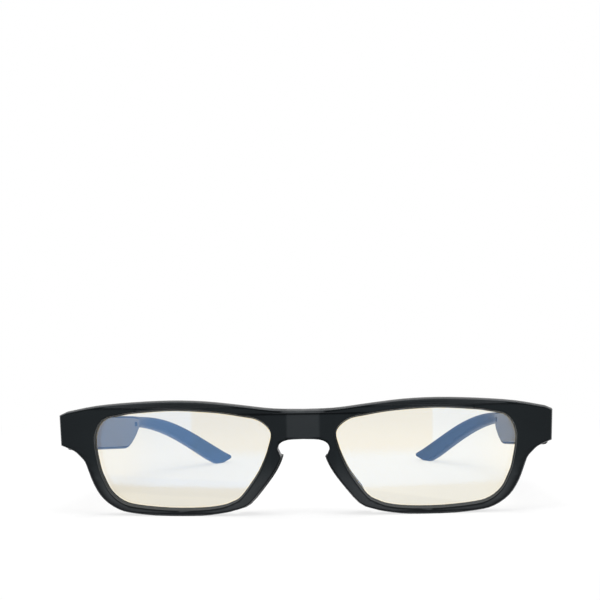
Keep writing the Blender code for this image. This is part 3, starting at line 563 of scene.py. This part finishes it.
def turned_steel(name, steel_colour):
    """Turned screw steel: fine rings round the screw and a few dull spots."""
    desk = Desk(name)
    place = desk.place()
    turned = desk.noise(desk.stretched(place, (3.0, 3.0, 0.5)), 3.0, 2.0)
    dull = desk.noise(place, 1.1, 4.0, 0.6).step(0.5, 0.8)
    values = {
        "Base Color": desk.blend(dull * 0.5, steel_colour, scaled(steel_colour, 0.6)),
        "Metallic": 1.0,
        "Roughness": 0.2 + 0.12 * turned + 0.18 * dull,
        "Normal": desk.bump(turned, 0.008 * MILLIMETRE),
    }
    return desk.finish(desk.surface(values))


def board_laminate(settings):
    """Circuit board: green resist over copper runs, with bright pads and a glass weave."""
    desk = Desk("board_laminate")
    place = desk.place()
    _, depth, up = desk.axes(place)
    runs = desk.cells(desk.stretched(place, (0.2, 1.0, 1.4)), 0.55, "DISTANCE_TO_EDGE")
    copper = 1.0 - runs.step(0.05, 0.1)
    weave = (depth * WEAVE_PACE).sine() * (up * WEAVE_PACE).sine()
    pads = 1.0 - desk.cells(desk.stretched(place, (0.2, 1.0, 1.0)), 0.5).step(0.16, 0.2)
    colour = desk.blend(copper * 0.5, settings.board_colour, scaled(settings.board_colour, 2.4))
    colour = desk.blend(pads, colour, settings.pad_colour)
    values = {
        "Base Color": colour,
        "Metallic": pads * 0.9,
        "Roughness": 0.32 + 0.1 * pads + 0.05 * weave,
        "Normal": desk.bump(0.6 * copper + pads + 0.1 * weave, 0.03 * MILLIMETRE),
    }
    return desk.finish(desk.surface(values))


def pouch_foil(settings):
    """Soft silver foil of the cells, lightly creased, with painted shade in the folds."""
    desk = Desk("pouch_foil")
    place = desk.place()
    creases = desk.noise(desk.stretched(place, (1.0, 0.6, 1.0)), 0.55, 5.0, 0.6)
    fine = desk.noise(place, 3.0, 2.0)
    silver = settings.cell_colour
    values = {
        # Painted shade: the foil is darker in its folds, where the creases' bump is low.
        "Base Color": desk.blend(creases.step(0.35, 0.7), scaled(silver, 0.8), silver),
        "Metallic": 0.85,
        "Roughness": 0.3 + 0.2 * fine,
        "Normal": desk.bump(creases, 0.12 * MILLIMETRE),
    }
    return desk.finish(desk.surface(values))


def moulded_speaker(settings):
    """The speakers' black cans, with a dull grain and fine dust."""
    desk = Desk("moulded_speaker")
    place = desk.place()
    grain = desk.noise(place, 4.0, 3.0, 0.6)
    dust = desk.noise(place, 1.7, 5.0, 0.7).step(0.58, 0.72)
    values = {
        "Base Color": desk.blend(dust * 0.3, settings.speaker_colour, settings.dust_colour),
        "Roughness": 0.45 + 0.2 * grain,
        "Normal": desk.bump(grain, 0.03 * MILLIMETRE),
    }
    return desk.finish(desk.surface(values))


def woven_mesh(settings):
    """Black woven outlet mesh: fine crossing wires with painted shade in the holes between them."""
    desk = Desk("woven_mesh")
    _, depth, up = desk.axes(desk.place())
    pace = 2.0 * math.pi / WIRE_PITCH
    lattice = (depth * pace).sine().most((up * pace).sine())
    # Painted shade fills the holes between the wires.
    open_share = 1.0 - lattice.step(0.1, 0.6)
    values = {
        "Base Color": desk.blend(open_share, settings.mesh_colour, settings.hole_shade_colour),
        "Metallic": 0.4 * (1.0 - open_share),
        "Roughness": 0.42 + 0.3 * open_share,
        "Normal": desk.bump(lattice, 0.06 * MILLIMETRE),
    }
    return desk.finish(desk.surface(values))


# ---------------------------------------------------------------- settings


def number_setting(name, description, default, **more):
    """A number a user may change."""
    return FloatProperty(name=name, description=description, default=default, **more)


def share_setting(name, description, default):
    """A share from 0 to 1."""
    return number_setting(name, description, default, min=0.0, max=1.0, subtype="FACTOR")


def size_setting(name, description, default):
    """A length in metres."""
    return number_setting(name, description, default, subtype="DISTANCE", unit="LENGTH")


def angle_setting(name, description, degrees):
    """An angle."""
    default = math.radians(degrees)
    return number_setting(name, description, default, subtype="ANGLE", unit="ROTATION")


def colour_setting(name, description, default):
    """A colour."""
    return FloatVectorProperty(
        name=name,
        description=description,
        default=default,
        size=3,
        min=0.0,
        max=1.0,
        subtype="COLOR",
    )


class GLASSES_PG_front(bpy.types.PropertyGroup):
    """The front's finish, its beads and the lenses' form."""

    colour: colour_setting("Colour", "Near-black of the polished front", (0.0035, 0.0048, 0.0058))
    # Colour of the painted highlights on the bevels, the bridge's middle panel and the lower front,
    # and of the rubbed wear.
    sheen_and_wear_colour: colour_setting("Edge", "Lighter tone of the grained bevels", (0.05, 0.053, 0.056))
    # Colour of the painted shade in the creases, on the bridge's flanks and where the rims meet the
    # bridge.
    painted_shade_colour: colour_setting("Crease", "Tone beside the bevels", (0.0008, 0.0012, 0.0016))
    shine: share_setting("Shine", "How strongly the polished face mirrors", 0.08)
    shine_tint: colour_setting("Shine tint", "Colour of what it mirrors", (0.82, 0.94, 1.0))
    lens_in_groove: size_setting("Lens in groove", "How far the lens reaches into the rim", 0.0006)
    lens_setback: size_setting("Lens setback", "From the front face to the lens", 0.0016)
    lens_thick: size_setting("Lens thickness", "Between its two faces", 0.002)
    bare_edge: size_setting("Bare edge", "Uncoated strip of the lens inside the rim", 0.00055)
    bow_radius: size_setting("Bow radius", "Radius on which the front bows", 0.38)
    bead_width: size_setting("Bead width", "How much of the lens the bead covers", 0.00034)
    bead_proud: size_setting("Bead height", "How far the bead stands before the lens", 0.0008)
    # The middle panel gets a painted highlight, the flanks painted shade.
    panel_half: number_setting("Bridge panel", "Half width of the bridge's panel, in mm", 4.8)
    flank_end: number_setting("Bridge flanks", "Where the flanks beside it end, in mm", 9.5)


class GLASSES_PG_lens(bpy.types.PropertyGroup):
    """The lenses' tint and coat, and their painted reflections."""

    tint: colour_setting("Tint", "What one face of the lens lets through", (0.982, 0.95, 0.86))
    # The creamier tint is a painted reflection of something cream.
    cream_reflection_tint: colour_setting("Cream", "The same in the creamier stretches", (0.98, 0.9, 0.72))
    coat_colour: colour_setting("Coat", "Colour of the coat's reflection", (0.16, 0.355, 0.77))
    # Where the painted reflection of a cream card lies.
    card_from: number_setting("Cream from", "Cream stretch from the middle, in mm", 6.0)
    card_to: number_setting("Cream to", "Its far side, in mm", 35.3)
    card_foot: number_setting("Cream foot", "Its lower edge, in mm", 18.0)
    # The pale band is a painted reflection.
    band_foot: number_setting("Band foot", "Lower edge of the pale band, in mm", 4.0)
    coat_share: share_setting("Coat share", "Light that each face of the lens reflects", 0.1)
    bare_share: share_setting("Bare share", "The same where the coat stops short", 0.02)


class GLASSES_PG_arms(bpy.types.PropertyGroup):
    """The arms' finishes."""

    colour: colour_setting("Colour", "Near-black of the satin arms", (0.006, 0.0062, 0.0067))
    cover_colour: colour_setting("Cover", "Grey of the inner covers", (0.09, 0.088, 0.088))
    mesh_colour: colour_setting("Mesh", "Black of the outlet mesh's wires", (0.05, 0.05, 0.052))
    # The holes' colour is painted shade.
    hole_shade_colour: colour_setting("Holes", "Dark between those wires", (0.004, 0.004, 0.004))


class GLASSES_PG_fittings(bpy.types.PropertyGroup):
    """Hinges, screws and the parts inside the arms."""

    hinge_colour: colour_setting("Hinges", "Blackened steel of the hinges", (0.09, 0.09, 0.095))
    pin_colour: colour_setting("Pins", "Blackened steel of the hinge screws", (0.035, 0.035, 0.038))
    screw_colour: colour_setting("Screws", "Bright steel of the leaf screws", (0.5, 0.5, 0.51))
    board_colour: colour_setting("Boards", "Green of the circuit boards", (0.012, 0.11, 0.045))
    pad_colour: colour_setting("Pads", "Gold of the boards' bright pads", (0.62, 0.47, 0.2))
    cell_colour: colour_setting("Cells", "Silver foil of the cells", (0.62, 0.62, 0.6))
    speaker_colour: colour_setting("Speakers", "Black of the speakers", (0.02, 0.02, 0.022))
    dust_colour: colour_setting("Dust", "Grey of the dust on the speakers", (0.12, 0.12, 0.12))


class GLASSES_PG_stage(bpy.types.PropertyGroup):
    """The table, the light and the camera."""

    floor_size: size_setting("Table size", "Side of the white table top", 6.0)
    floor_colour: colour_setting("Table colour", "White of the table", (0.88, 0.88, 0.88))
    shadow_fill: share_setting("Shadow fill", "How much of the table is plain white", 0.72)
    sky_strength: number_setting("Room light", "Strength of the even room light", 0.55)
    front_card: number_setting("Low front lamp", "Watts of the lamp the lenses mirror", 5.5)
    camera_place: FloatVectorProperty(
        name="Camera place",
        description="Where the camera stands",
        default=(0.03171, -0.61291, 0.0880),
        size=3,
        subtype="TRANSLATION",
        unit="LENGTH",
    )
    yaw: angle_setting("Yaw", "Camera's turn about the upright axis", -3.31)
    pitch: angle_setting("Pitch", "How far the camera looks down", 2.61)
    roll: angle_setting("Roll", "Camera's turn about its own axis", -1.108)
    lens: number_setting("Focal length", "Focal length in millimetres", 114.5)


# ---------------------------------------------------------------- operators


class GLASSES_OT_front(bpy.types.Operator):
    """Finish the front and add the beads in front of the lenses."""

    bl_idname = "glasses.front"
    bl_label = "Front"

    def execute(self, context):
        settings = context.scene.glasses_front
        material = polished_black(settings)
        wear("front_frame", material)
        for side in SIDES:
            make_rim_bead(f"lens_{side}", f"rim_bead_{side}", settings, material)
        return {"FINISHED"}


class GLASSES_OT_lenses(bpy.types.Operator):
    """Put a smooth lens in each rim."""

    bl_idname = "glasses.lenses"
    bl_label = "Lenses"

    def execute(self, context):
        settings = context.scene.glasses_lens
        form = context.scene.glasses_front
        materials = [
            tinted_lens("tinted_lens", settings, settings.coat_share),
            tinted_lens("bare_lens_edge", settings, settings.bare_share),
        ]
        for side in SIDES:
            make_lens_sheet(f"lens_{side}", f"lens_sheet_{side}", form, materials)
        return {"FINISHED"}


class GLASSES_OT_arms(bpy.types.Operator):
    """Finish the arms' black shells."""

    bl_idname = "glasses.arms"
    bl_label = "Arms"

    def execute(self, context):
        material = satin_black(context.scene.glasses_arms)
        for node in both("temple_shell"):
            wear(node, material)
        return {"FINISHED"}


class GLASSES_OT_covers(bpy.types.Operator):
    """Finish the arms' grey inner covers and the outlet meshes in them."""

    bl_idname = "glasses.covers"
    bl_label = "Inner Covers"

    def execute(self, context):
        settings = context.scene.glasses_arms
        grey = satin_grey(settings)
        mesh = woven_mesh(settings)
        for node in both("inner_cover"):
            wear(node, grey)
        for node in both("speaker_mesh"):
            wear(node, mesh)
        return {"FINISHED"}


class GLASSES_OT_hinges(bpy.types.Operator):
    """Finish the hinges and all screws."""

    bl_idname = "glasses.hinges"
    bl_label = "Hinges and Screws"

    def execute(self, context):
        settings = context.scene.glasses_fittings
        dark = dark_steel(settings)
        black = turned_steel("black_screw_steel", settings.pin_colour)
        bright = turned_steel("bright_screw_steel", settings.screw_colour)
        for name in ("front_hinge", "temple_hinge"):
            for node in both(name):
                wear(node, dark)
        for node in both("hinge_screw"):
            wear(node, black)
        for node in both("leaf_screw_front") + both("leaf_screw_rear"):
            wear(node, bright)
        return {"FINISHED"}


class GLASSES_OT_electronics(bpy.types.Operator):
    """Finish the boards, cells and speakers inside the arms."""

    bl_idname = "glasses.electronics"
    bl_label = "Inside Parts"

    def execute(self, context):
        settings = context.scene.glasses_fittings
        finishes = {
            "circuit_board": board_laminate(settings),
            "battery": pouch_foil(settings),
            "speaker": moulded_speaker(settings),
        }
        for name, material in finishes.items():
            for node in both(name):
                wear(node, material)
        return {"FINISHED"}


class GLASSES_OT_stage(bpy.types.Operator):
    """Set the white table, the lamps and the camera."""

    bl_idname = "glasses.stage"
    bl_label = "Table, Light and Camera"

    def execute(self, context):
        settings = context.scene.glasses_stage
        make_table(settings)
        light_room(settings)
        place_camera(settings)
        return {"FINISHED"}


# ---------------------------------------------------------------- table, light and camera

TABLE_GAP = 0.02 * MILLIMETRE
PLAIN_FROM, PLAIN_TO = 0.1, 0.22  # how far from its middle the table turns plain white


def make_table(settings):
    """A wide white table top that keeps a faint shadow."""
    half = settings.floor_size / 2
    corners = [(-half, -half, 0.0), (half, -half, 0.0), (half, half, 0.0), (-half, half, 0.0)]
    mesh = bpy.data.meshes.new("table_top")
    mesh.from_pydata(corners, [], [(0, 1, 2, 3)])
    table = bpy.data.objects.new("table_top", mesh)
    bpy.context.scene.collection.objects.link(table)
    table.location.z = packed_box[0][2] - TABLE_GAP
    desk = Desk("table_white")
    seen = seen_ray(desk)
    paper = desk.noise(desk.place(), 0.02, 2.0)
    colour = desk.blend(paper, scaled(settings.floor_colour, 0.99), settings.floor_colour)
    matt = desk.surface({"Base Color": colour, "Roughness": 0.9, "Specular IOR Level": 0.0})
    white = desk.node("ShaderNodeEmission", None, {"Color": WHITE, "Strength": 1.0})
    across, depth, _ = desk.axes(desk.node("ShaderNodeTexCoord", out=3))
    far = ((across * across + depth * depth) ** 0.5).step(PLAIN_FROM, PLAIN_TO)
    share = seen * (settings.shadow_fill + far * (1.0 - settings.shadow_fill))
    mesh.materials.append(desk.finish(desk.mixed(share, matt, white)))


def seen_ray(desk):
    """1 for what the camera, a mirror or glass sees, and 0 for what lights other things."""
    path = desk.tree.nodes.new("ShaderNodeLightPath")
    camera, glossy, through = [
        Signal(desk, path.outputs[name])
        for name in ("Is Camera Ray", "Is Glossy Ray", "Is Transmission Ray")
    ]
    return camera.most(glossy).most(through)


def light_room(settings):
    """Even white room light and four broad soft lamps, the low one for the lenses to mirror."""
    scene = bpy.context.scene
    scene.view_settings.view_transform = "Standard"
    desk = Desk("white_room", "worlds")
    seen = seen_ray(desk)
    strength = settings.sky_strength + seen * (1.0 - settings.sky_strength)
    sky = desk.node("ShaderNodeBackground", None, {"Color": WHITE, "Strength": strength})
    desk.node("ShaderNodeOutputWorld", None, {"Surface": sky})
    scene.world = desk.material
    middle = (0.0, 0.0, 0.0)
    up_and_back = (0.0, -0.417, 1.099)
    # Where each lamp stands, what it points at, its side and its watts.
    lamps = {
        "lamp_above": ((0.0, 0.05, 0.9), middle, 0.9, 7.0),
        "lamp_left": ((-0.9, -0.5, 0.6), middle, 0.7, 4.0),
        "lamp_right": ((0.9, -0.4, 0.6), middle, 0.7, 4.0),
        "lamp_low_front": ((0.0, -0.637, 0.123), up_and_back, 1.1, settings.front_card),
    }
    for name, (place, target, size, power) in lamps.items():
        lamp = bpy.data.lights.new(name, "AREA")
        lamp.shape = "SQUARE"
        lamp.size = size
        lamp.energy = power
        holder = bpy.data.objects.new(name, lamp)
        holder.visible_camera = False
        holder.location = place
        holder.rotation_mode = "QUATERNION"
        holder.rotation_quaternion = (Vector(target) - Vector(place)).to_track_quat("-Z", "Y")
        scene.collection.objects.link(holder)


SENSOR_WIDTH = 36.0  # in millimetres, as Blender has it
NEAREST_SEEN = 0.01


def place_camera(settings):
    """The camera, low in front of the glasses and a little to the right."""
    forward = Vector(
        (
            math.sin(settings.yaw) * math.cos(settings.pitch),
            math.cos(settings.yaw) * math.cos(settings.pitch),
            -math.sin(settings.pitch),
        )
    )
    level = Vector((math.cos(settings.yaw), -math.sin(settings.yaw), 0.0))
    over = level.cross(forward)
    right = math.cos(settings.roll) * level + math.sin(settings.roll) * over
    top = math.cos(settings.roll) * over - math.sin(settings.roll) * level
    turn = Matrix((right, top, -forward)).transposed().to_4x4()
    camera = bpy.data.cameras.new("camera")
    camera.sensor_width = SENSOR_WIDTH
    camera.lens = settings.lens
    camera.clip_start = NEAREST_SEEN
    holder = bpy.data.objects.new("camera", camera)
    holder.matrix_world = Matrix.Translation(settings.camera_place) @ turn
    bpy.context.scene.collection.objects.link(holder)
    bpy.context.scene.camera = holder


# ---------------------------------------------------------------- panel and registration


class GLASSES_PT_panel(bpy.types.Panel):
    """Lists the pieces and their settings."""

    bl_idname = "GLASSES_PT_panel"
    bl_label = "Glasses"
    bl_space_type = "VIEW_3D"
    bl_region_type = "UI"
    bl_category = "Glasses"

    def draw(self, context):
        layout = self.layout
        for group, operators in PANEL_ROWS:
            box = layout.box()
            for operator in operators:
                box.operator(operator.bl_idname)
            settings = getattr(context.scene, group)
            for name in settings.bl_rna.properties.keys():
                if name not in ("rna_type", "name"):
                    box.prop(settings, name)


SETTINGS = {
    "glasses_front": GLASSES_PG_front,
    "glasses_lens": GLASSES_PG_lens,
    "glasses_arms": GLASSES_PG_arms,
    "glasses_fittings": GLASSES_PG_fittings,
    "glasses_stage": GLASSES_PG_stage,
}
PANEL_ROWS = (
    ("glasses_front", (GLASSES_OT_front,)),
    ("glasses_lens", (GLASSES_OT_lenses,)),
    ("glasses_arms", (GLASSES_OT_arms, GLASSES_OT_covers)),
    ("glasses_fittings", (GLASSES_OT_hinges, GLASSES_OT_electronics)),
    ("glasses_stage", (GLASSES_OT_stage,)),
)
OPERATORS = tuple(operator for group, operators in PANEL_ROWS for operator in operators)
CLASSES = (*SETTINGS.values(), *OPERATORS, GLASSES_PT_panel)


def register():
    """Registers the settings, the operators and the panel."""
    for each in CLASSES:
        bpy.utils.register_class(each)
    for name, group in SETTINGS.items():
        setattr(bpy.types.Scene, name, PointerProperty(type=group))


def unregister():
    """Takes them out again."""
    for name in SETTINGS:
        delattr(bpy.types.Scene, name)
    for each in reversed(CLASSES):
        bpy.utils.unregister_class(each)


def main():
    """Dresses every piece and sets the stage."""
    register()
    bpy.ops.glasses.front()
    bpy.ops.glasses.lenses()
    bpy.ops.glasses.arms()
    bpy.ops.glasses.covers()
    bpy.ops.glasses.hinges()
    bpy.ops.glasses.electronics()
    bpy.ops.glasses.stage()


if __name__ == "__main__":
    main()
